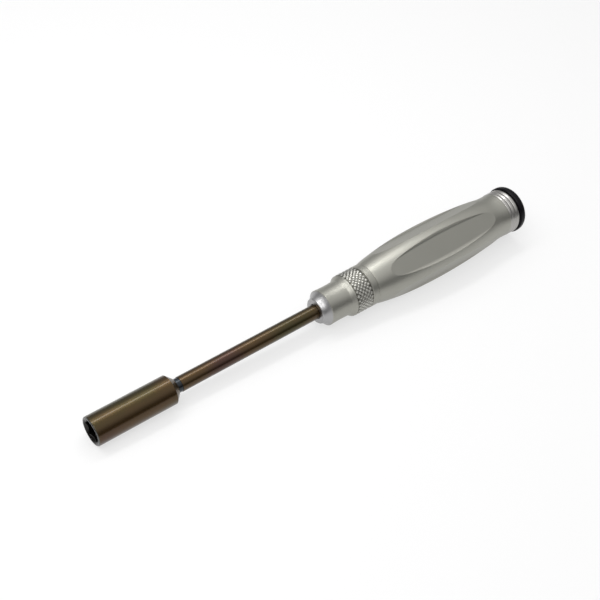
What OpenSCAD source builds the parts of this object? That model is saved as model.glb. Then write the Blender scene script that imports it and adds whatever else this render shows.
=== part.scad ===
// Nut driver with a hollow aluminium grip and a free-turning end cap.
// The tool lies along X. The mouth of the socket is at the origin, the end cap is at +X,
// and one of the grip's flats faces straight down.

/* [Socket] */
// Size across the flats of the nut that the socket turns
nut_af = 8; // [6.5:0.1:8.4]
// Outside diameter of the socket
socket_d = 11.7; // [11.2:0.1:14]
// Length of the socket from its mouth to the end of its tail
socket_l = 35.2; // [32:0.2:44]
// Length of the cone at the socket's tail
tail_l = 2.4; // [1.5:0.1:4]
// Diameter at the small end of the tail cone
tail_d = 6.8; // [6.6:0.1:8]
// Depth of the hexagon from the mouth
hex_depth = 12; // [8:0.5:15]
// Diameter of the round bore behind the hexagon, which clears a long stud
stud_d = 6.8; // [6.5:0.1:7.2]
// Depth of the stud bore from the mouth
stud_depth = 22; // [18:0.5:25]
// Width of the lead-in chamfer at the mouth
mouth_chamfer = 0.4; // [0.1:0.05:0.5]

/* [Blade] */
// Diameter of the shaft
shaft_d = 6; // [5.4:0.1:6.2]
// Length of blade in front of the grip, from the mouth to the nose
blade_reach = 101.3; // [80:0.1:160]
// Length of shaft held inside the nose
blade_grip = 33; // [26:1:38]
// Length of the relief groove behind the socket
groove_l = 2; // [1:0.1:4]
// Depth of the relief groove
groove_depth = 0.2; // [0.05:0.05:0.6]
// Depth of the flat that the set screw bears on
key_depth = 0.5; // [0.2:0.05:0.9]

/* [Nose] */
// Diameter of the front face of the nose
nose_d = 10.7; // [9:0.1:12]
// Width of the chamfer around the blade in the nose's front face
nose_sink = 0.2; // [0.1:0.1:0.8]
// Length of the nose from its front face to the edge of the neck
nose_l = 3.4; // [3:0.1:9]
// Diameter of the neck at its two ends
neck_d = 15.1; // [14.6:0.1:15.6]
// Length of the neck
neck_l = 9.6; // [7:0.1:14]
// Depth of the hollow along the neck
neck_hollow = 0.15; // [0.05:0.05:0.4]
// Length of the flare from the neck to the knurl
flare_l = 2.1; // [1.5:0.1:5]
// Diameter over the knurl
knurl_d = 17.9; // [16.8:0.1:19]
// Length of the knurled band
knurl_l = 8.4; // [6:0.2:16]
// Depth of the knurl
knurl_depth = 0.4; // [0.2:0.05:0.5]
// Number of knurl points around the band
knurl_count = 30; // [24:1:48]
// Length of the plain band between the knurl and the grip
plain_l = 2.8; // [1:0.1:6]
// Length of the spigot that goes into the grip
nose_spigot_l = 16; // [12:0.5:24]

/* [Set screw] */
// Diameter of the set screw
screw_d = 4; // [3:0.5:5]
// Across-flats size of the screw's hexagon recess
screw_hex_af = 2; // [1.5:0.1:2.2]
// Depth of the screw's hexagon recess
screw_hex_depth = 1.8; // [1:0.1:2.4]
// How far the screw's outer end lies below the neck
screw_sink = 0.6; // [0.3:0.1:1.2]

/* [Grip] */
// Length of the grip barrel
barrel_l = 75.4; // [70:0.2:82]
// Largest diameter of the grip
belly_d = 24.5; // [23.6:0.1:27]
// Distance from the grip's front end to its thickest point
belly_at = 37.4; // [36:0.2:40]
// Radius of the long curve of the belly
belly_r = 215; // [200:5:300]
// Radius of the tighter curve of the front shoulder
shoulder_r = 75; // [45:1:100]
// Length of the front shoulder
shoulder_l = 7.7; // [5:0.1:12]
// Radius of the hollow curve of the waist
waist_r = 32; // [10:1:40]
// Distance from the waist's thinnest point to the grip's rear end
waist_at = 2.6; // [1:0.1:4]
// Diameter of the bore through the grip
barrel_bore_d = 14; // [12.5:0.1:15]
// Number of flats around the grip
flat_count = 5; // [4:1:6]
// Distance from the axis to the floor of a flat
flat_floor = 10.15; // [9.8:0.05:10.5]
// Length of a flat
flat_l = 60; // [50:0.5:64]
// Width of a flat
flat_w = 11.4; // [9.4:0.1:11.8]
// Radius of a flat's rounded ends
flat_end_r = 4.2; // [3:0.1:4.5]

/* [End] */
// Diameter over the collar's rings
collar_d = 19.8; // [19:0.1:22]
// Number of rings on the collar
ring_count = 3; // [2:1:4]
// Width of one ring
ring_l = 1.9; // [1.6:0.1:3]
// Height of a ring above the groove beside it
ring_h = 0.4; // [0.2:0.05:0.5]
// Length of the plug's spigot inside the grip
plug_spigot_l = 15; // [12:0.5:24]
// Outside diameter of the bearing bush
bush_d = 9; // [8:0.1:10]
// Thickness of the plug's wall behind the bush
plug_wall = 3; // [1.5:0.1:4]
// Diameter of the cap's stem
stem_d = 6; // [5:0.1:6.4]
// Outside diameter of the end cap
cap_d = 20.8; // [20:0.1:24]
// Length of the end cap
cap_l = 3.7; // [3.4:0.1:8]
// Radius of the cap's rounded rear edge
cap_round = 2.1; // [1:0.1:2.4]
// Width of the chamfer on the cap's front edge
cap_chamfer = 0.5; // [0.2:0.05:0.8]
// Outside diameter of the thrust washer
washer_d = 15.5; // [12:0.5:16.5]
// Thickness of the thrust washer
washer_t = 0.6; // [0.4:0.1:1]
// Outside diameter of the retaining clip
clip_d = 10; // [9:0.1:12]
// Thickness of the retaining clip
clip_t = 0.7; // [0.5:0.1:1]
// Diameter of the stem in the clip's groove
clip_groove_d = 4.6; // [4:0.1:4.8]

/* [Hidden] */
$fn = 96;

// Clearances and the overrun of cuts
nut_clear = 0.1;
braze_gap = 0.03;
slide_clear = 0.03;
turn_clear = 0.03;
seat_clear = 0.02;
thread_clear = 0.03;
screw_bite_gap = 0.05;
bore_end_gap = 0.5;
cap_gap = 0.2;
washer_side_clear = 0.3;
washer_face_clear = 0.05;
clip_face_clear = 0.1;
clip_side_clear = 0.05;
overrun = 1;

// Small edges
edge = 0.3;
shaft_edge = 0.5;
screw_edge = 0.3;
stem_edge = 0.4;
knurl_relief = 0.2;
nose_rise = 0.65;
flare_round = 0.6;
clip_end_l = 1.2;

// Stations along the tool
neck_x = blade_reach + nose_l;
flare_x = neck_x + neck_l;
knurl_x = flare_x + flare_l;
plain_x = knurl_x + knurl_l;
barrel_x = plain_x + plain_l;
screw_x = neck_x + neck_l / 2;
shaft_end_x = blade_reach + blade_grip;
belly_x = barrel_x + belly_at;
collar_x = barrel_x + barrel_l;
collar_l = ring_count * ring_l;
collar_end_x = collar_x + collar_l;
plug_x = collar_x - plug_spigot_l;
cap_x = collar_end_x + cap_gap;
cap_end_x = cap_x + cap_l;
clip_x = plug_x - clip_face_clear - clip_t;
stem_x = clip_x - clip_face_clear - clip_end_l;

// Radii that fits share
hex_flat_r = (nut_af + nut_clear) / 2;
hex_r = hex_flat_r / cos(30);
shaft_r = shaft_d / 2;
key_y = shaft_r - key_depth;
spigot_r = barrel_bore_d / 2 - seat_clear;
stem_r = stem_d / 2;
bush_bore_r = stem_r + turn_clear;
bush_l = plug_spigot_l + collar_l - plug_wall;
knurl_root_r = knurl_d / 2 - knurl_depth;
washer_sink = washer_t + washer_face_clear - cap_gap;
full_turn = 360;
quarter_turn = 90;

// A shape turned about the tool's axis, from an outline drawn as [radius, station]
module turned() {
    rotate([0, quarter_turn, 0])
        rotate_extrude()
            children();
}

// A round bar or hole along the tool
module bar_x(r, from, to) {
    translate([from, 0, 0])
        rotate([0, quarter_turn, 0])
            cylinder(r = r, h = to - from);
}

// The part of an outline between two stations
module between(from, to, r) {
    intersection() {
        children();
        translate([0, from])
            square([r, to - from]);
    }
}

// Socket with a hexagon in its mouth, a stud bore behind it and a seat for the shaft in its tail
module socket_sleeve() {
    socket_r = socket_d / 2;
    mouth_r = hex_r + mouth_chamfer;
    lead_r = hex_flat_r - mouth_chamfer;
    color("#5a4030")
    difference() {
        turned()
            polygon([
                [0, 0],
                [socket_r - edge, 0],
                [socket_r, edge],
                [socket_r, socket_l - tail_l],
                [tail_d / 2, socket_l],
                [0, socket_l]
            ]);
        translate([-overrun, 0, 0])
            rotate([0, quarter_turn, 0])
                cylinder(r = hex_r, h = overrun + hex_depth, $fn = 6);
        turned()
            polygon([
                [0, -overrun],
                [mouth_r + overrun, -overrun],
                [lead_r, mouth_r - lead_r],
                [0, mouth_r - lead_r]
            ]);
        bar_x(stud_d / 2, 0, stud_depth);
        bar_x(shaft_r + braze_gap, 0, socket_l + overrun);
    }
}

// Shaft with a relief groove behind the socket and a flat for the set screw that runs out at its rear end
module blade_shaft() {
    groove_r = shaft_r - groove_depth;
    key_x = screw_x - screw_d;
    color("#5a4030")
    difference() {
        turned()
            polygon([
                [0, stud_depth],
                [shaft_r, stud_depth],
                [shaft_r, socket_l],
                [groove_r, socket_l],
                [groove_r, socket_l + groove_l],
                [shaft_r, socket_l + groove_l],
                [shaft_r, shaft_end_x - shaft_edge],
                [shaft_r - shaft_edge, shaft_end_x],
                [0, shaft_end_x]
            ]);
        translate([key_x, key_y, -shaft_r])
            cube([shaft_end_x - key_x + overrun, shaft_r, shaft_d]);
    }
}

// Outline of the nose: two-step cone, hollow neck, flare, knurl root, plain band and spigot
module nose_outline() {
    neck_r = neck_d / 2;
    hollow_r = (neck_l * neck_l / 4 + neck_hollow * neck_hollow) / (2 * neck_hollow);
    band_r = knurl_d / 2;
    core_r = knurl_root_r - knurl_depth;
    difference() {
        polygon([
            [0, blade_reach],
            [nose_d / 2 - edge, blade_reach],
            [nose_d / 2, blade_reach + edge],
            [nose_d / 2 + nose_rise, blade_reach + nose_l / 2],
            [neck_r, neck_x],
            [neck_r, flare_x],
            [band_r - flare_round / 2, knurl_x - flare_round],
            [band_r, knurl_x],
            [core_r, knurl_x],
            [core_r, plain_x],
            [band_r, plain_x],
            [band_r, barrel_x],
            [spigot_r, barrel_x],
            [spigot_r, barrel_x + nose_spigot_l - edge],
            [spigot_r - edge, barrel_x + nose_spigot_l],
            [0, barrel_x + nose_spigot_l]
        ]);
        translate([neck_r - neck_hollow + hollow_r, neck_x + neck_l / 2])
            circle(r = hollow_r, $fn = 360);
    }
}

// Diamond knurl: a ring of pyramids between two sets of crossed grooves
module knurl_band() {
    sides = 2 * knurl_count;
    pitch = PI * knurl_d / knurl_count;
    band_l = knurl_l - 2 * knurl_relief;
    rows = round(2 * band_l / pitch);
    step_l = band_l / rows;
    core_r = knurl_root_r - 2 * knurl_depth;
    function ring_point(r, i, x) = [x, r * cos(full_turn * i / sides), r * sin(full_turn * i / sides)];
    function point_r(i, j) = (i + j) % 2 == 0 ? knurl_root_r : knurl_d / 2;
    function at(i, j) = j * sides + i % sides;
    function core(i, j) = (rows + 1 + j) * sides + i % sides;
    skin = [for (j = [0:rows]) for (i = [0:sides - 1])
        ring_point(point_r(i, j), i, knurl_x + knurl_relief + j * step_l)];
    inner = [for (j = [0, 1]) for (i = [0:sides - 1])
        ring_point(core_r, i, knurl_x + knurl_relief + j * band_l)];
    low = [for (j = [0:rows - 1]) for (i = [0:sides - 1]) if ((i + j) % 2 == 0)
        each [[at(i, j), at(i, j + 1), at(i + 1, j)], [at(i + 1, j), at(i, j + 1), at(i + 1, j + 1)]]];
    high = [for (j = [0:rows - 1]) for (i = [0:sides - 1]) if ((i + j) % 2 == 1)
        each [[at(i, j), at(i, j + 1), at(i + 1, j + 1)], [at(i, j), at(i + 1, j + 1), at(i + 1, j)]]];
    ends = [for (i = [0:sides - 1])
        each [[at(i, 0), at(i + 1, 0), core(i + 1, 0)], [at(i, 0), core(i + 1, 0), core(i, 0)],
              [at(i + 1, rows), at(i, rows), core(i, 1)], [at(i + 1, rows), core(i, 1), core(i + 1, 1)],
              [core(i, 0), core(i + 1, 0), core(i + 1, 1)], [core(i, 0), core(i + 1, 1), core(i, 1)]]];
    polyhedron(points = concat(skin, inner), faces = concat(low, high, ends));
}

// Turned nose with a bore for the blade, a cross hole for the set screw and the knurl around it
module nose_ferrule() {
    bore_r = shaft_r + slide_clear;
    color("#c9c9c6")
    union() {
        difference() {
            turned()
                nose_outline();
            bar_x(bore_r, blade_reach - overrun, shaft_end_x + bore_end_gap);
            turned()
                polygon([
                    [0, blade_reach - overrun],
                    [bore_r + nose_sink + overrun, blade_reach - overrun],
                    [bore_r, blade_reach + nose_sink],
                    [0, blade_reach + nose_sink]
                ]);
            translate([screw_x, 0, 0])
                rotate([-quarter_turn, 0, 0])
                    cylinder(r = screw_d / 2 + thread_clear, h = neck_d);
        }
        knurl_band();
    }
}

// Grub screw that points at the blade's flat from the side of the neck
module set_screw() {
    screw_r = screw_d / 2;
    tip_y = key_y + screw_bite_gap;
    head_y = neck_d / 2 - neck_hollow - screw_sink;
    color("#2b2b2d")
    translate([screw_x, 0, 0])
    rotate([-quarter_turn, 0, 0])
    difference() {
        rotate_extrude()
            polygon([
                [0, tip_y],
                [screw_r - screw_edge, tip_y],
                [screw_r, tip_y + screw_edge],
                [screw_r, head_y - screw_edge],
                [screw_r - screw_edge, head_y],
                [0, head_y]
            ]);
        translate([0, 0, head_y - screw_hex_depth])
            cylinder(d = screw_hex_af / cos(30), h = screw_hex_depth + overrun, $fn = 6);
    }
}

// Outline of the grip: front shoulder, long belly and hollow waist, arcs that meet smoothly on a straight core
module barrel_outline() {
    belly_centre = [belly_d / 2 - belly_r, belly_x];
    shoulder_x = barrel_x + shoulder_l;
    lean = asin((shoulder_x - belly_x) / belly_r);
    shoulder_centre = belly_centre + (belly_r - shoulder_r) * [cos(lean), sin(lean)];
    waist_x = collar_x - waist_at;
    waist_lean = asin((waist_x - belly_x) / (belly_r + waist_r));
    waist_centre = belly_centre + (belly_r + waist_r) * [cos(waist_lean), sin(waist_lean)];
    waist_start_x = belly_x + belly_r * sin(waist_lean);
    translate([0, barrel_x])
        square([barrel_bore_d / 2 + overrun, barrel_l]);
    between(barrel_x, shoulder_x, belly_d)
        translate(shoulder_centre)
            circle(r = shoulder_r, $fn = 720);
    between(shoulder_x, waist_start_x, belly_d)
        translate(belly_centre)
            circle(r = belly_r, $fn = 1440);
    difference() {
        translate([0, waist_start_x])
            square([belly_d / 2, collar_x - waist_start_x]);
        translate(waist_centre)
            circle(r = waist_r, $fn = 360);
    }
}

// Plan of one flat: two long side arcs closed by round ends
module flat_outline() {
    half_l = flat_l / 2;
    half_w = flat_w / 2;
    end_x = half_l - flat_end_r;
    side_r = (end_x * end_x + half_w * half_w - flat_end_r * flat_end_r) / (2 * (half_w - flat_end_r));
    meet_x = end_x * side_r / (side_r - flat_end_r);
    intersection() {
        translate([0, side_r - half_w])
            circle(r = side_r, $fn = 1440);
        translate([0, half_w - side_r])
            circle(r = side_r, $fn = 1440);
        square([2 * meet_x, flat_w], center = true);
    }
    for (side = [-1, 1])
        translate([side * end_x, 0])
            circle(r = flat_end_r);
}

// Hollow grip with its flats milled around it, one of them underneath
module grip_barrel() {
    color("#b9b9b2")
    difference() {
        turned()
            barrel_outline();
        bar_x(barrel_bore_d / 2, barrel_x - overrun, collar_x + overrun);
        for (i = [0:flat_count - 1])
            rotate([full_turn * i / flat_count + 2 * quarter_turn, 0, 0])
                translate([belly_x, 0, flat_floor])
                    linear_extrude(height = belly_d / 2)
                        flat_outline();
    }
}

// Plug that closes the grip: ringed collar outside, spigot and bush seat inside
module end_plug() {
    collar_r = collar_d / 2;
    round_r = (ring_l * ring_l / 4 + ring_h * ring_h) / (2 * ring_h);
    color("#d8d8d8")
    difference() {
        turned() {
            polygon([
                [0, plug_x],
                [spigot_r - edge, plug_x],
                [spigot_r, plug_x + edge],
                [spigot_r, collar_x],
                [collar_r - ring_h, collar_x],
                [collar_r - ring_h, collar_end_x],
                [0, collar_end_x]
            ]);
            for (i = [0:ring_count - 1])
                between(collar_x, collar_end_x, collar_r)
                    translate([collar_r - round_r, collar_x + (i + 0.5) * ring_l])
                        circle(r = round_r);
        }
        bar_x(bush_d / 2, plug_x - overrun, collar_end_x - plug_wall);
        bar_x(stem_r + washer_side_clear, plug_x, collar_end_x + overrun);
    }
}

// Bearing bush that the cap's stem turns in
module stem_bush() {
    bush_r = bush_d / 2 - seat_clear;
    color("#b08d57")
    difference() {
        bar_x(bush_r, plug_x, plug_x + bush_l);
        bar_x(bush_bore_r, plug_x - overrun, plug_x + bush_l + overrun);
    }
}

// Slip washer between the collar and the cap
module thrust_washer() {
    color("#e6e2d6")
    difference() {
        bar_x(washer_d / 2, collar_end_x, collar_end_x + washer_t);
        bar_x(stem_r + washer_side_clear, collar_end_x - overrun, collar_end_x + washer_t + overrun);
    }
}

// End cap with its stem, recessed for the washer and grooved for the clip
module swivel_cap() {
    cap_r = cap_d / 2;
    groove_r = clip_groove_d / 2;
    recess_r = washer_d / 2 + washer_side_clear;
    clip_end_x = clip_x + clip_t + clip_face_clear / 2;
    color("#151517")
    turned()
    union() {
        polygon([
            [0, stem_x],
            [stem_r - stem_edge, stem_x],
            [stem_r, stem_x + stem_edge],
            [stem_r, clip_x - clip_face_clear / 2],
            [groove_r, clip_x - clip_face_clear / 2],
            [groove_r, clip_end_x],
            [stem_r, clip_end_x],
            [stem_r, cap_x + washer_sink],
            [recess_r, cap_x + washer_sink],
            [recess_r, cap_x],
            [cap_r - cap_chamfer, cap_x],
            [cap_r, cap_x + cap_chamfer],
            [cap_r, cap_end_x - cap_round],
            [cap_r - cap_round, cap_end_x - cap_round],
            [cap_r - cap_round, cap_end_x],
            [0, cap_end_x]
        ]);
        between(cap_end_x - cap_round, cap_end_x, cap_r)
            translate([cap_r - cap_round, cap_end_x - cap_round])
                circle(r = cap_round);
    }
}

// Open E-clip that keeps the stem in the plug
module retaining_clip() {
    groove_r = clip_groove_d / 2 + clip_side_clear;
    color("#3a3a3c")
    difference() {
        bar_x(clip_d / 2, clip_x, clip_x + clip_t);
        bar_x(groove_r, clip_x - overrun, clip_x + clip_t + overrun);
        translate([clip_x - overrun, -groove_r, 0])
            cube([clip_t + 2 * overrun, 2 * groove_r, clip_d]);
    }
}

socket_sleeve();
blade_shaft();
nose_ferrule();
set_screw();
grip_barrel();
end_plug();
stem_bush();
thrust_washer();
swivel_cap();
retaining_clip();
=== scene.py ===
import math

import bpy
from mathutils import Matrix, Vector


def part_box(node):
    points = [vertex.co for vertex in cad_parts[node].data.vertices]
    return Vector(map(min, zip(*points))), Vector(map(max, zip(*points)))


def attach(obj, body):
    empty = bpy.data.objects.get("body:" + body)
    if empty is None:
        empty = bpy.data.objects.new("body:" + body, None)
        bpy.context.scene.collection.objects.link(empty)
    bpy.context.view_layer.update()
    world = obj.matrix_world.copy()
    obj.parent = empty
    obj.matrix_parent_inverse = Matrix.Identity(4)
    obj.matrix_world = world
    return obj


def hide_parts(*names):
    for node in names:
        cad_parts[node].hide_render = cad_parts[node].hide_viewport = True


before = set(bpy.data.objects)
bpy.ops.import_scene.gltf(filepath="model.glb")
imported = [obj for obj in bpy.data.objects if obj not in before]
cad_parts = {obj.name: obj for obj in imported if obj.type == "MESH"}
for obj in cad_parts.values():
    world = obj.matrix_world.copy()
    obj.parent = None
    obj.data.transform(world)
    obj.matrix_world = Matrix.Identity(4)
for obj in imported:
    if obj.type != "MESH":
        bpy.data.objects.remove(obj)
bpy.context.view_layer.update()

# Blade shaft: a straight bar of hardened steel under a bronze-brown hard coating.
# A narrow heat-tinted groove lies behind the socket, and a flat for the set screw runs out at the rear end.
mm = 0.001
shaft_lo, shaft_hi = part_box("blade_shaft")
socket_lo, socket_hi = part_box("socket_sleeve")
screw_lo, screw_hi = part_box("set_screw")
shaft_r = shaft_hi.y
shaft_edge = 0.5 * mm
groove_l = 2.0 * mm
groove_depth = 0.2 * mm
groove_x = socket_hi.x
groove_end = groove_x + groove_l
key_depth = 0.5 * mm
key_x = screw_lo.x - (screw_hi.x - screw_lo.x) / 2
same_point = 0.001 * mm
weld = 0.005 * mm
sliver = 0.002 * mm


def turn(name, outline, sides, capped):
    """Turns a piece about the tool's axis: one ring, extruded along an outline of (station, radius)."""
    bpy.ops.object.select_all(action="DESELECT")
    start, start_r = outline[0]
    bpy.ops.mesh.primitive_circle_add(vertices=sides, radius=start_r, location=(start, 0, 0),
                                      rotation=(0, math.pi / 2, 0), fill_type="NGON" if capped else "NOTHING")
    piece = bpy.context.object
    piece.name = piece.data.name = name
    bpy.ops.object.transform_apply(location=True, rotation=True, scale=True)
    bpy.ops.object.mode_set(mode="EDIT")
    bpy.ops.mesh.select_mode(type="EDGE")
    bpy.ops.mesh.select_all(action="SELECT")
    for (here, here_r), (there, there_r) in zip(outline, outline[1:]):
        bpy.ops.mesh.extrude_region_move(TRANSFORM_OT_translate={"value": (there - here, 0, 0)})
        wider = there_r / here_r
        bpy.ops.transform.resize(value=(1, wider, wider), center_override=(there, 0, 0))
    bpy.ops.mesh.select_all(action="SELECT")
    bpy.ops.mesh.remove_doubles(threshold=same_point)
    bpy.ops.mesh.normals_make_consistent(inside=False)
    bpy.ops.object.mode_set(mode="OBJECT")
    return piece


def work(piece, operation, other):
    """Takes another shape out of a piece or adds it to the piece, and throws the other shape away."""
    bpy.ops.object.select_all(action="DESELECT")
    bpy.context.view_layer.objects.active = piece
    joining = piece.modifiers.new("joining", "BOOLEAN")
    joining.operation = operation
    joining.solver = "EXACT"
    joining.object = other
    bpy.ops.object.modifier_apply(modifier=joining.name)
    bpy.data.objects.remove(other)


def soften(piece, width, sharp_from):
    """Breaks the sharp edges of a piece, as deburring does, and shades it smooth between them."""
    bpy.ops.object.select_all(action="DESELECT")
    piece.select_set(True)
    bpy.context.view_layer.objects.active = piece
    bpy.ops.object.mode_set(mode="EDIT")
    bpy.ops.mesh.select_all(action="SELECT")
    bpy.ops.mesh.remove_doubles(threshold=weld)
    bpy.ops.mesh.dissolve_degenerate(threshold=sliver)
    bpy.ops.object.mode_set(mode="OBJECT")
    rounding = piece.modifiers.new("rounding", "BEVEL")
    rounding.width = width
    rounding.segments = 3
    rounding.limit_method = "ANGLE"
    rounding.angle_limit = math.radians(sharp_from)
    bpy.ops.object.modifier_apply(modifier=rounding.name)
    bpy.ops.object.shade_smooth_by_angle(angle=math.radians(sharp_from))
    flat_faces = piece.modifiers.new("flat_faces", "WEIGHTED_NORMAL")
    flat_faces.weight = 100
    flat_faces.keep_sharp = True
    bpy.ops.object.modifier_apply(modifier=flat_faces.name)


class Wire:
    """One socket of a finish, so that its shader maths reads as plain sums."""

    def __init__(self, finish, socket):
        self.finish = finish
        self.socket = socket

    def math(self, operation, first, second):
        return self.finish.node("ShaderNodeMath", {"operation": operation}, {0: first, 1: second})

    def __add__(self, other):
        return self.math("ADD", self, other)

    __radd__ = __add__

    def __sub__(self, other):
        return self.math("SUBTRACT", self, other)

    def __rsub__(self, other):
        return self.math("SUBTRACT", other, self)

    def __mul__(self, other):
        return self.math("MULTIPLY", self, other)

    __rmul__ = __mul__


class Shading:
    """The nodes of one material or of the world."""

    def __init__(self, tree):
        self.nodes = tree.nodes
        self.links = tree.links

    def set(self, socket, value):
        if isinstance(value, Wire):
            self.links.new(value.socket, socket)
        else:
            socket.default_value = value

    def node(self, kind, settings, inputs, output=0):
        made = self.nodes.new(kind)
        for setting, value in settings.items():
            setattr(made, setting, value)
        for socket, value in inputs.items():
            self.set(made.inputs[socket], value)
        return Wire(self, made.outputs[output])

    def step(self, value, start, end):
        return self.node("ShaderNodeMapRange", {"interpolation_type": "SMOOTHSTEP"},
                         {"Value": value, "From Min": start, "From Max": end})


class Finish(Shading):
    """A surface finish: one material, drawn on the place of each point in its piece."""

    def __init__(self, name, **constants):
        self.material = bpy.data.materials.new(name)
        self.material.use_nodes = True
        super().__init__(self.material.node_tree)
        self.shader = self.nodes["Principled BSDF"]
        self.feed(**constants)
        self.place = self.node("ShaderNodeTexCoord", {}, {}, "Object")

    def feed(self, **inputs):
        for socket, value in inputs.items():
            words = socket.replace("_", " ").title().replace("Ior", "IOR")
            self.set(self.shader.inputs[words], value)

    def axis(self, letter):
        return self.node("ShaderNodeSeparateXYZ", {}, {"Vector": self.place}, letter)

    def radius(self):
        across = self.node("ShaderNodeVectorMath", {"operation": "MULTIPLY"}, {0: self.place, 1: (0, 1, 1)})
        return self.node("ShaderNodeVectorMath", {"operation": "LENGTH"}, {0: across}, "Value")

    def noise(self, scale, stretch=(1, 1, 1), detail=2.0):
        grain = self.node("ShaderNodeVectorMath", {"operation": "MULTIPLY"}, {0: self.place, 1: stretch})
        return self.node("ShaderNodeTexNoise", {}, {"Vector": grain, "Scale": scale, "Detail": detail}, "Fac")

    def blend(self, share, first, second):
        return self.node("ShaderNodeMix", {"data_type": "RGBA"}, {0: share, 6: first, 7: second}, 2)

    def bump(self, height, distance, strength):
        return self.node("ShaderNodeBump", {}, {"Height": height, "Distance": distance, "Strength": strength})

    def put_on(self, piece):
        piece.data.materials.clear()
        piece.data.materials.append(self.material)


shaft = turn("shaft_bar", [
    (shaft_lo.x, shaft_r),
    (groove_x, shaft_r),
    (groove_x, shaft_r - groove_depth),
    (groove_end, shaft_r - groove_depth),
    (groove_end, shaft_r),
    (shaft_hi.x - shaft_edge, shaft_r),
    (shaft_hi.x, shaft_r - shaft_edge),
], sides=64, capped=True)
key_l = shaft_hi.x - key_x + shaft_r
bpy.ops.mesh.primitive_cube_add(size=1, location=(key_x + key_l / 2, 2 * shaft_r - key_depth, 0),
                                scale=(key_l, 2 * shaft_r, 4 * shaft_r))
work(shaft, "DIFFERENCE", bpy.context.object)
soften(shaft, width=0.06 * mm, sharp_from=25)

hex_af = 8.1 * mm
hex_r = hex_af / math.sqrt(3)
tint_edge = 0.1 * mm
rim_l = 0.38 * mm
rim_out = 0.12 * mm
rim_in = 0.28 * mm
bore_out = 0.6 * mm
bore_in = 0.4 * mm
bore_fade = 1.0 * mm
brown = (0.068, 0.037, 0.011, 1)
olive = (0.048, 0.038, 0.009, 1)
plum = (0.056, 0.025, 0.017, 1)
heat_blue = (0.019, 0.024, 0.03, 1)
bare_steel = (0.115, 0.12, 0.108, 1)
# Near black, as painted shade inside the socket's hexagon bore and over its mouth.
bore_painted_shade = (0.014, 0.013, 0.012, 1)
bronze = Finish("bronzed_steel", metallic=1.0, coat_weight=0.5, coat_roughness=0.12)
clouds = bronze.noise(scale=55, stretch=(0.5, 1, 1), detail=3)
warm = bronze.blend(bronze.step(clouds, 0.35, 0.6), olive, brown)
coat = bronze.blend(bronze.step(clouds, 0.58, 0.75), warm, plum)
along = bronze.axis("X")
in_groove = (bronze.step(along, groove_x - tint_edge, groove_x)
             * bronze.step(along, groove_end, groove_end - tint_edge))
coat = bronze.blend(in_groove, coat, heat_blue)
at_rim = bronze.step(along, rim_l, rim_l / 2)
coat = bronze.blend(at_rim, coat, bare_steel)
out = bronze.radius()
# Painted shade: the mouth's front face and lead are coloured near black, inside the worn outer edge.
mouth_shade_mask = at_rim * bronze.step(out, socket_hi.y - rim_out, socket_hi.y - rim_in)
coat = bronze.blend(mouth_shade_mask, coat, bore_painted_shade)
# Painted shade: the hexagon bore is coloured near black, fading out just past the shaft's end.
bore_shade_mask = (bronze.step(out, hex_r + bore_out, hex_r + bore_in)
           * bronze.step(along, shaft_lo.x + bore_fade, shaft_lo.x))
coat = bronze.blend(bore_shade_mask, coat, bore_painted_shade)
grind = bronze.noise(scale=5000, stretch=(1, 0.04, 0.04))
bronze.feed(base_color=coat, roughness=0.28 + 0.16 * grind,
            normal=bronze.bump(grind, distance=0.004 * mm, strength=0.4))
bronze.put_on(shaft)
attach(shaft, "blade")
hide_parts("blade_shaft")

# Socket: a thick steel tube with a broached hexagon in its mouth, coated like the shaft.
# Its tail is turned to a cone and brazed on the shaft; the mouth's rim is worn to bare steel.
socket_r = socket_hi.y
socket_edge = 0.3 * mm
tail_l = 2.4 * mm
tail_r = 3.4 * mm
stud_r = 3.4 * mm
running_fit = 0.03 * mm
seat_r = shaft_r + running_fit
hex_depth = 12 * mm
socket = turn("socket_tube", [
    (socket_lo.x, stud_r),
    (socket_lo.x, socket_r - socket_edge),
    (socket_lo.x + socket_edge, socket_r),
    (socket_hi.x - tail_l, socket_r),
    (socket_hi.x, tail_r),
    (socket_hi.x, seat_r),
    (shaft_lo.x, seat_r),
    (shaft_lo.x, stud_r),
    (socket_lo.x, stud_r),
], sides=96, capped=False)
bpy.ops.mesh.primitive_cylinder_add(vertices=6, radius=hex_r, depth=2 * hex_depth,
                                    rotation=(0, math.pi / 2, 0))
work(socket, "DIFFERENCE", bpy.context.object)
lead = 0.4 * mm
lead_l = hex_r - hex_af / 2 + 2 * lead
bpy.ops.mesh.primitive_cone_add(vertices=96, radius1=hex_r + lead + lead_l, radius2=hex_r + lead - lead_l,
                                depth=2 * lead_l, rotation=(0, math.pi / 2, 0))
work(socket, "DIFFERENCE", bpy.context.object)
soften(socket, width=0.08 * mm, sharp_from=25)
bronze.put_on(socket)
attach(socket, "blade")
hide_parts("socket_sleeve")

# Nose: turned from aluminium bar, satin like the grip, with a bright-cut cone and a rolled diamond knurl.
# Its spigot is fixed in the grip's bore. The blade slides in its own bore, and a cross hole takes the screw.
nose_lo, nose_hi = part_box("nose_ferrule")
grip_lo, grip_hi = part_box("grip_barrel")
face_r = 5.35 * mm
nose_sink = 0.2 * mm
face_edge = 0.3 * mm
cone_l = 3.4 * mm
neck_x = nose_lo.x + cone_l
neck_l = 9.6 * mm
neck_r = 7.55 * mm
neck_hollow = 0.15 * mm
cone_curve = 1.65
flare_l = 2.1 * mm
flare_x = neck_x + neck_l
knurl_x = flare_x + flare_l
knurl_l = 8.4 * mm
knurl_r = nose_hi.y
knurl_depth = 0.4 * mm
knurl_count = 30
plain_x = knurl_x + knurl_l
spigot_r = 6.98 * mm
bore_r = shaft_r + running_fit
bore_end_gap = 0.5 * mm
knurl_root = knurl_r - knurl_depth
knurl_seat = 0.6 * mm
knurl_flank = 0.42 * mm
knurl_gap = 0.15 * mm
lip = 0.1 * mm
lip_drop = 0.12 * mm
relief = 0.2 * mm
seam = 0.15 * mm


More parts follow.
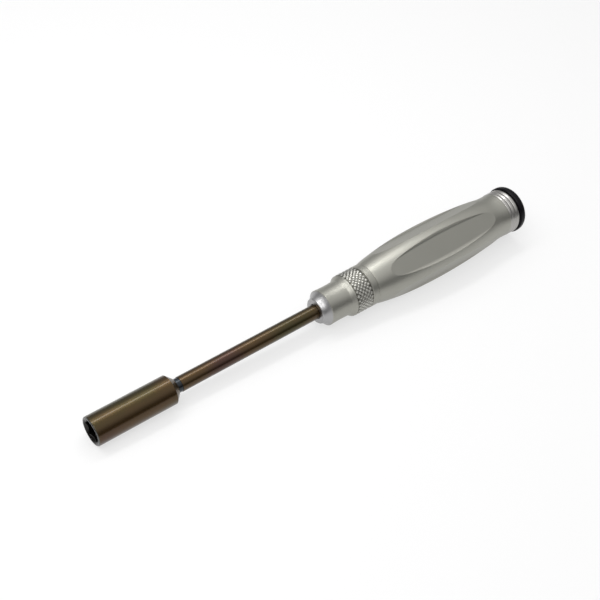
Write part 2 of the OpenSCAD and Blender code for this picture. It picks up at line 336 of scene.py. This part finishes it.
def arc(centre, radius, start, end, count):
    """Points of an arc in an outline, from one station to another, on the side away from the axis."""
    stations = [start + (end - start) * i / count for i in range(count + 1)]
    rises = [math.sqrt(radius ** 2 - (x - centre[0]) ** 2) for x in stations]
    return [(x, centre[1] + math.copysign(rise, radius)) for x, rise in zip(stations, rises)]


hollow_r = (neck_l ** 2 / 4 + neck_hollow ** 2) / (2 * neck_hollow)
neck = arc((neck_x + neck_l / 2, neck_r - neck_hollow + hollow_r), -hollow_r, neck_x, flare_x, count=8)
cone_x = nose_lo.x + face_edge
cone = [(cone_x + (neck_x - cone_x) * share, face_r + (neck_r - face_r) * share ** cone_curve)
        for share in (0.0, 0.25, 0.5, 0.75)]
flare_curve = 1.25
flare = [(flare_x + flare_l * share, neck_r + (knurl_r - neck_r) * share ** flare_curve)
         for share in (0.15, 0.3, 0.5, 0.7, 0.85)]
nose = turn("nose_turning", [
    (shaft_hi.x + bore_end_gap, bore_r),
    (nose_lo.x + nose_sink, bore_r),
    (nose_lo.x, bore_r + nose_sink),
    (nose_lo.x, face_r - face_edge),
    *cone,
    *neck,
    *flare,
    (knurl_x - lip, knurl_r - lip_drop),
    (knurl_x, knurl_r - relief),
    (knurl_x + relief, knurl_root),
    (plain_x - relief, knurl_root),
    (plain_x, knurl_r - lip),
    (plain_x + lip, knurl_r),
    (grip_lo.x - seam, knurl_r),
    (grip_lo.x, knurl_r - seam),
    (grip_lo.x, spigot_r),
    (nose_hi.x - face_edge, spigot_r),
    (nose_hi.x, spigot_r - face_edge),
], sides=96, capped=True)
screw_r = (screw_hi.x - screw_lo.x) / 2 + running_fit
screw_x = (screw_lo.x + screw_hi.x) / 2
bpy.ops.mesh.primitive_cylinder_add(vertices=48, radius=screw_r, depth=neck_r, rotation=(math.pi / 2, 0, 0),
                                    location=(screw_x, (neck_r + bore_r) / 2, 0))
work(nose, "DIFFERENCE", bpy.context.object)
soften(nose, width=0.06 * mm, sharp_from=35)

knurl_start = knurl_x + knurl_gap
knurl_end = plain_x - knurl_gap
knurl_rows = round(knurl_count * (knurl_end - knurl_start) / (math.pi * knurl_r))
bpy.ops.object.select_all(action="DESELECT")
bpy.ops.mesh.primitive_cylinder_add(vertices=2 * knurl_count, radius=knurl_root, end_fill_type="NOTHING",
                                    depth=knurl_end - knurl_start, rotation=(0, math.pi / 2, 0),
                                    location=((knurl_start + knurl_end) / 2, 0, 0))
knurl = bpy.context.object
bpy.ops.object.transform_apply(location=True, rotation=True, scale=True)
bpy.ops.object.mode_set(mode="EDIT")
bpy.ops.mesh.normals_make_consistent(inside=False)
bpy.ops.mesh.select_all(action="DESELECT")
bpy.ops.object.mode_set(mode="OBJECT")
for edge in knurl.data.edges:
    ends = [knurl.data.vertices[v].co.x for v in edge.vertices]
    edge.select = abs(ends[0] - ends[1]) > mm
bpy.ops.object.mode_set(mode="EDIT")
bpy.ops.mesh.subdivide(number_cuts=knurl_rows - 1)
bpy.ops.mesh.select_all(action="SELECT")
bpy.ops.mesh.unsubdivide(iterations=1)
bpy.ops.mesh.select_face_by_sides(number=4, type="EQUAL", extend=False)
bpy.ops.mesh.inset(thickness=knurl_flank, depth=knurl_depth, use_individual=True)
bpy.ops.mesh.select_all(action="DESELECT")
bpy.ops.mesh.select_non_manifold()
bpy.ops.mesh.extrude_region_move()
inward = (knurl_root - knurl_seat) / knurl_root
bpy.ops.transform.resize(value=(1, inward, inward), center_override=(0, 0, 0))
bpy.ops.mesh.bridge_edge_loops()
bpy.ops.mesh.select_all(action="SELECT")
bpy.ops.mesh.normals_make_consistent(inside=False)
bpy.ops.object.mode_set(mode="OBJECT")
work(nose, "UNION", knurl)
bpy.ops.object.select_all(action="DESELECT")
nose.select_set(True)
knurl_sharp = 30
bpy.ops.object.shade_smooth_by_angle(angle=math.radians(knurl_sharp))

satin_grey = (0.342, 0.338, 0.302, 1)
satin_pale = (0.372, 0.368, 0.332, 1)
cut_bright = (0.38, 0.378, 0.38, 1)
# Painted light on the knurl: a lighter colour for its tips as painted highlight, a darker one for its grooves
# as painted shade.
knurl_tip_painted_highlight = (0.5, 0.495, 0.46, 1)
knurl_groove_painted_shade = (0.16, 0.156, 0.135, 1)


def satin(name):
    """Bead-blasted and anodised aluminium: a fine even grain and slow, faint clouds of tone."""
    finish = Finish(name, metallic=1.0)
    finish.tone = finish.blend(finish.noise(scale=90, detail=3), satin_grey, satin_pale)
    finish.grain = finish.noise(scale=7000)
    return finish


turned = satin("turned_aluminium")
along = turned.axis("X")
cut_edge = 0.35 * mm
on_cone = turned.step(along, neck_x - lip, neck_x - cut_edge)
lathe = turned.noise(scale=9000, stretch=(1, 0.02, 0.02))
on_knurl = (turned.step(along, knurl_x + lip, knurl_x + lip + relief)
            * turned.step(along, plain_x, plain_x - relief))
# Painted highlight on the knurl's tips and painted shade in its grooves, graded by radius.
knurl_painted_light_shade = turned.blend(turned.step(turned.radius(), knurl_r - lip, knurl_root), knurl_tip_painted_highlight, knurl_groove_painted_shade)
skin = turned.blend(on_cone, turned.blend(on_knurl, turned.tone, knurl_painted_light_shade), cut_bright)
rough = 0.4 + 0.06 * turned.grain - on_cone * 0.06 - on_knurl * 0.1
turned.feed(base_color=skin, roughness=rough,
            normal=turned.bump(on_cone * lathe + (1 - on_cone) * turned.grain,
                               distance=0.006 * mm, strength=0.5))
turned.put_on(nose)
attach(nose, "handle")
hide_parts("nose_ferrule")

# Set screw: a black hardened grub screw with a hexagon recess, turned into the neck from the side.
# It bears on the blade's flat; less than two turns of a key free the blade.
oxide_dark = (0.03, 0.03, 0.033, 1)
oxide_grey = (0.06, 0.06, 0.065, 1)
black_oxide = Finish("black_steel", metallic=1.0)
oxide = black_oxide.noise(scale=1200, detail=3)
black_oxide.feed(base_color=black_oxide.blend(oxide, oxide_dark, oxide_grey),
                 roughness=0.35 + 0.15 * oxide,
                 normal=black_oxide.bump(oxide, distance=0.004 * mm, strength=0.4))
black_oxide.put_on(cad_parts["set_screw"])

# Grip: a hollow aluminium barrel, turned to a long belly with a tight front shoulder and a hollow waist.
# Five long oval flats are milled around it with sloping walls, then it is bead-blasted and anodised.
belly_top = grip_hi.z
belly_at = 37.4 * mm
belly_x = grip_lo.x + belly_at
belly_r = 215 * mm
shoulder_r = 75 * mm
shoulder_l = 7.7 * mm
waist_r = 32 * mm
waist_at = 2.6 * mm
grip_bore = 7.0 * mm
front_edge = 0.35 * mm
belly_centre = (belly_x, belly_top - belly_r)
shoulder_x = grip_lo.x + shoulder_l
lean = math.asin((shoulder_x - belly_x) / belly_r)
shoulder_centre = (belly_x + (belly_r - shoulder_r) * math.sin(lean),
                   belly_centre[1] + (belly_r - shoulder_r) * math.cos(lean))
waist_x = grip_hi.x - waist_at
waist_lean = math.asin((waist_x - belly_x) / (belly_r + waist_r))
waist_centre = (waist_x, belly_centre[1] + (belly_r + waist_r) * math.cos(waist_lean))
waist_start = belly_x + belly_r * math.sin(waist_lean)
shoulder = arc(shoulder_centre, shoulder_r, grip_lo.x + front_edge, shoulder_x, count=8)
belly = arc(belly_centre, belly_r, shoulder_x, waist_start, count=48)
waist = arc(waist_centre, -waist_r, waist_start, grip_hi.x, count=8)
grip = turn("grip_turning", [
    (grip_lo.x, grip_bore),
    (grip_lo.x, shoulder[0][1] - front_edge),
    *shoulder,
    *belly[1:],
    *waist[1:],
    (grip_hi.x, grip_bore),
    (grip_lo.x, grip_bore),
], sides=180, capped=False)

flat_count = 5
flat_floor = 10.15 * mm
flat_l = 29.6 * mm
flat_w = 4.7 * mm
flat_end_r = 3.6 * mm
flat_rise = 2.6 * mm
flat_draft = 4.8 * mm
flat_fillet = 0.5 * mm
end_x = flat_l - flat_end_r
side_r = (end_x ** 2 + flat_w ** 2 - flat_end_r ** 2) / (2 * (flat_w - flat_end_r))
meet_x = end_x * side_r / (side_r - flat_end_r)


def flat_width(x):
    """Half the width of a flat at a distance along it: long side arcs closed by round ends."""
    if abs(x) > meet_x:
        return math.sqrt(max(flat_end_r ** 2 - (abs(x) - end_x) ** 2, 0))
    return math.sqrt(side_r ** 2 - x ** 2) - side_r + flat_w


bpy.ops.object.select_all(action="DESELECT")
flat_points = 112
bpy.ops.mesh.primitive_circle_add(vertices=flat_points, radius=1, fill_type="NGON")
cutter = bpy.context.object
for point in cutter.data.vertices:
    station = flat_l * point.co.x
    point.co = (station, math.copysign(flat_width(station), point.co.y), flat_floor)
bpy.ops.object.mode_set(mode="EDIT")
bpy.ops.mesh.select_all(action="SELECT")
bpy.ops.mesh.extrude_region_move(TRANSFORM_OT_translate={"value": (0, 0, flat_rise)})
bpy.ops.transform.resize(value=(1 + flat_draft / flat_l, 1 + flat_draft / flat_w, 1),
                         center_override=(0, 0, 0))
bpy.ops.mesh.select_all(action="SELECT")
bpy.ops.mesh.normals_make_consistent(inside=False)
bpy.ops.mesh.select_all(action="DESELECT")
bpy.ops.object.mode_set(mode="OBJECT")
floor_slope = -0.9
edge_slopes = {}
for face in cutter.data.polygons:
    for key in face.edge_keys:
        edge_slopes.setdefault(key, []).append(face.normal.z)
for edge in cutter.data.edges:
    slopes = edge_slopes[edge.key]
    edge.select = min(slopes) < floor_slope < max(slopes)
bpy.ops.object.mode_set(mode="EDIT")
bpy.ops.mesh.bevel(offset=flat_fillet, segments=4, affect="EDGES")
bpy.ops.object.mode_set(mode="OBJECT")
cutter.location.x = belly_x
for i in range(flat_count):
    bpy.ops.object.select_all(action="DESELECT")
    mill = cutter.copy()
    mill.data = cutter.data.copy()
    bpy.context.collection.objects.link(mill)
    mill.rotation_euler.x = math.pi + 2 * math.pi * i / flat_count
    bpy.context.view_layer.update()
    work(grip, "DIFFERENCE", mill)
bpy.data.objects.remove(cutter)
soften(grip, width=0.18 * mm, sharp_from=22)

blasted = satin("satin_aluminium")
blasted.feed(base_color=blasted.tone, roughness=0.38 + 0.08 * blasted.grain,
             normal=blasted.bump(blasted.grain, distance=0.006 * mm, strength=0.5))
blasted.put_on(grip)
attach(grip, "handle")
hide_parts("grip_barrel")

# End plug: an aluminium plug with three bright-cut rounded rings outside and a spigot in the grip's bore.
# It is bored for the bush that carries the cap's stem.
plug_lo, plug_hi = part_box("end_plug")
bush_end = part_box("stem_bush")[1].x
collar_r = plug_hi.z
ring_count = 3
ring_h = 0.4 * mm
ring_l = (plug_hi.x - grip_hi.x) / ring_count
ring_r = (ring_l ** 2 / 4 + ring_h ** 2) / (2 * ring_h)
bush_seat = 4.5 * mm
stem_way = 3.3 * mm
rings = []
for i in range(ring_count):
    ring_x = grip_hi.x + i * ring_l
    rings += arc((ring_x + ring_l / 2, collar_r - ring_r), ring_r, ring_x, ring_x + ring_l, count=8)
plug = turn("plug_turning", [
    (plug_lo.x, bush_seat),
    (plug_lo.x, spigot_r - face_edge),
    (plug_lo.x + face_edge, spigot_r),
    (grip_hi.x, spigot_r),
    *rings,
    (plug_hi.x, stem_way),
    (bush_end, stem_way),
    (bush_end, bush_seat),
    (plug_lo.x, bush_seat),
], sides=96, capped=False)
soften(plug, width=0.05 * mm, sharp_from=30)
ring_grey = (0.36, 0.352, 0.335, 1)
ring_pale = (0.42, 0.41, 0.395, 1)
bright = Finish("bright_aluminium", metallic=1.0)
lathe = bright.noise(scale=9000, stretch=(1, 0.02, 0.02))
bright.feed(base_color=bright.blend(bright.noise(scale=200), ring_grey, ring_pale),
            roughness=0.26 + 0.1 * lathe,
            normal=bright.bump(lathe, distance=0.006 * mm, strength=0.5))
bright.put_on(plug)
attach(plug, "handle")
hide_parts("end_plug")

# Bearing bush: a plain sleeve of bearing bronze, pressed into the plug from the inside.
# The cap's stem turns in its bore, and it is hidden once the tool is together.
bush_brown = (0.6, 0.42, 0.18, 1)
bush_gold = (0.72, 0.54, 0.28, 1)
bronze_bush = Finish("bush_brass", metallic=1.0)
turning = bronze_bush.noise(scale=6000, stretch=(1, 0.03, 0.03))
bronze_bush.feed(base_color=bronze_bush.blend(turning, bush_brown, bush_gold),
                 roughness=0.25 + 0.15 * turning,
                 normal=bronze_bush.bump(turning, distance=0.005 * mm, strength=0.4))
bronze_bush.put_on(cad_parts["stem_bush"])

# Thrust washer: a ring of natural acetal, stamped from sheet and left loose on the cap's stem.
# It lies in the cap's recess and keeps the cap from rubbing on the collar.
acetal_cream = (0.8, 0.78, 0.71, 1)
acetal_pale = (0.88, 0.86, 0.8, 1)
acetal = Finish("washer_plastic", subsurface_weight=0.1)
speckle = acetal.noise(scale=2500, detail=3)
acetal.feed(base_color=acetal.blend(speckle, acetal_cream, acetal_pale),
            roughness=0.45 + 0.1 * speckle,
            normal=acetal.bump(speckle, distance=0.004 * mm, strength=0.3))
acetal.put_on(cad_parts["thrust_washer"])

# End cap: black anodised aluminium with a rounded rear edge and a flat end, in one piece with its stem.
# The stem runs in the bush and is held by the clip, so the cap turns freely under the palm.
cap_lo, cap_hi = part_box("swivel_cap")
clip_lo, clip_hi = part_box("retaining_clip")
washer_end, washer_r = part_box("thrust_washer")[1].xy
cap_r = cap_hi.y
cap_gap = 0.2 * mm
cap_x = plug_hi.x + cap_gap
cap_round = 2.1 * mm
cap_chamfer = 0.5 * mm
stem_r = 3.0 * mm
stem_edge = 0.4 * mm
clip_root = 2.3 * mm
clip_gap = 0.05 * mm
washer_gap = 0.3 * mm
washer_play = 0.05 * mm
recess_r = washer_r + washer_gap
recess_x = washer_end + washer_play
round_steps = 8
quarter = [math.pi / 2 * i / round_steps for i in range(round_steps + 1)]
cap = turn("cap_turning", [
    (cap_lo.x, stem_r - stem_edge),
    (cap_lo.x + stem_edge, stem_r),
    (clip_lo.x - clip_gap, stem_r),
    (clip_lo.x - clip_gap, clip_root),
    (clip_hi.x + clip_gap, clip_root),
    (clip_hi.x + clip_gap, stem_r),
    (recess_x, stem_r),
    (recess_x, recess_r),
    (cap_x, recess_r),
    (cap_x, cap_r - cap_chamfer),
    (cap_x + cap_chamfer, cap_r),
    *[(cap_hi.x - cap_round * (1 - math.sin(a)), cap_r - cap_round * (1 - math.cos(a))) for a in quarter],
], sides=96, capped=True)
soften(cap, width=0.08 * mm, sharp_from=25)
dye_black = (0.003, 0.003, 0.004, 1)
dye_violet = (0.006, 0.005, 0.007, 1)
black = Finish("black_aluminium", metallic=0.0, ior=1.2)
dye = black.noise(scale=300, detail=3)
black.feed(base_color=black.blend(dye, dye_black, dye_violet),
           roughness=0.25 + 0.1 * dye,
           normal=black.bump(black.noise(scale=8000), distance=0.003 * mm, strength=0.3))
black.put_on(cap)
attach(cap, "cap")
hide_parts("swivel_cap")

# Retaining clip: an open E-clip of black spring steel, pushed sideways into the stem's groove.
# It sits inside the grip and keeps the cap from coming out of the plug.
black_oxide.put_on(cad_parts["retaining_clip"])

# Floor: a plain white table. The tool lies on the grip's belly and the socket, so the table leans a little
# against the tool's axis. It shows white to the eye and in the metal, and keeps the tool's soft shadow.
table_size = 40
table_lean = math.atan2(-socket_r - grip_lo.z, belly_x - socket_edge)
bpy.ops.object.select_all(action="DESELECT")
bpy.ops.mesh.primitive_plane_add(size=table_size, location=(belly_x, 0, grip_lo.z),
                                 rotation=(0, table_lean, 0))
table = bpy.context.object
table.name = "table"
paper_white = (0.8, 0.8, 0.8, 1)
table_glow = 0.64
paper = Finish("table_white", base_color=paper_white, roughness=1.0, specular_ior_level=0.0)
rays = [paper.node("ShaderNodeLightPath", {}, {}, kind)
        for kind in ("Is Camera Ray", "Is Glossy Ray", "Is Transmission Ray")]
seen = rays[0] + rays[1] + rays[2]
glow = paper.node("ShaderNodeEmission", {}, {"Color": (1, 1, 1, 1), "Strength": 1.0})
lit = Wire(paper, paper.shader.outputs[0])
paper.set(paper.nodes["Material Output"].inputs["Surface"],
          paper.node("ShaderNodeMixShader", {}, {0: seen * table_glow, 1: lit, 2: glow}))
paper.put_on(table)

# Studio light: a room with a pale ceiling, a grey wall behind the tool and dim walls elsewhere.
# A large soft lamp and a narrow brighter strip hang along the tool, and a smaller one over its front end.
world = bpy.data.worlds.new("studio_room")
bpy.context.scene.world = world
world.use_nodes = True
room = Shading(world.node_tree)
direction = room.node("ShaderNodeTexCoord", {}, {}, "Generated")
upward = room.node("ShaderNodeSeparateXYZ", {}, {"Vector": direction}, "Z")
backdrop = (0.68, 0.73, 0)
toward = room.node("ShaderNodeVectorMath", {"operation": "DOT_PRODUCT"}, {0: direction, 1: backdrop}, "Value")
near_wall = 0.12
far_wall = 0.4
ceiling = 0.95
wall_edge = 0.6
ceiling_from = 0.22
ceiling_full = 0.86
wall = near_wall + room.step(toward, 0.0, wall_edge) * (far_wall - near_wall)
level = wall + room.step(upward, ceiling_from, ceiling_full) * (ceiling - wall)
room.set(room.nodes["Background"].inputs["Color"], (1, 1, 1, 1))
room.set(room.nodes["Background"].inputs["Strength"], level)
lamps = (
    # turn about X and about Y, distance, station along the tool, length, width, power
    (-25, 0, 430 * mm, 35 * mm, 630 * mm, 310 * mm, 0.5),
    (-22, 0, 425 * mm, 35 * mm, 630 * mm, 55 * mm, 0.68),
    (14, -32, 600 * mm, 105 * mm, 200 * mm, 300 * mm, 0.75),
)
for tip, swing, reach, station, length, width, watts in lamps:
    aim = Matrix.Rotation(math.radians(swing), 4, "Y") @ Matrix.Rotation(math.radians(tip), 4, "X")
    bpy.ops.object.light_add(type="AREA", rotation=aim.to_euler(),
                             location=aim @ Vector((0, 0, reach)) + Vector((station, 0, 0)))
    lamp = bpy.context.object.data
    lamp.shape = "RECTANGLE"
    lamp.size = length
    lamp.size_y = width
    lamp.energy = watts

# Camera: a long lens from the front left, a little rolled, at the photograph's viewing angle.
# Its place and its turn were worked out from the tool's edges and ellipses in the photograph.
camera_place = Vector((-98.312, -203.698, 306.47)) * mm
azimuth = math.radians(-43.1222)
elevation = math.radians(46.5367)
roll = math.radians(6.4921)
focal_pixels = 1061.08
frame_pixels = 600
sensor_mm = 36
bpy.ops.object.camera_add()
camera = bpy.context.object
camera.data.sensor_width = sensor_mm
camera.data.lens = focal_pixels * sensor_mm / frame_pixels
camera.data.clip_start = 1 * mm
turned_to = Matrix.Rotation(azimuth, 4, "Z") @ Matrix.Rotation(math.pi / 2 - elevation, 4, "X")
camera.matrix_world = Matrix.Translation(camera_place) @ turned_to @ Matrix.Rotation(roll, 4, "Z")
bpy.context.scene.camera = camera
bpy.context.scene.view_settings.view_transform = "Standard"
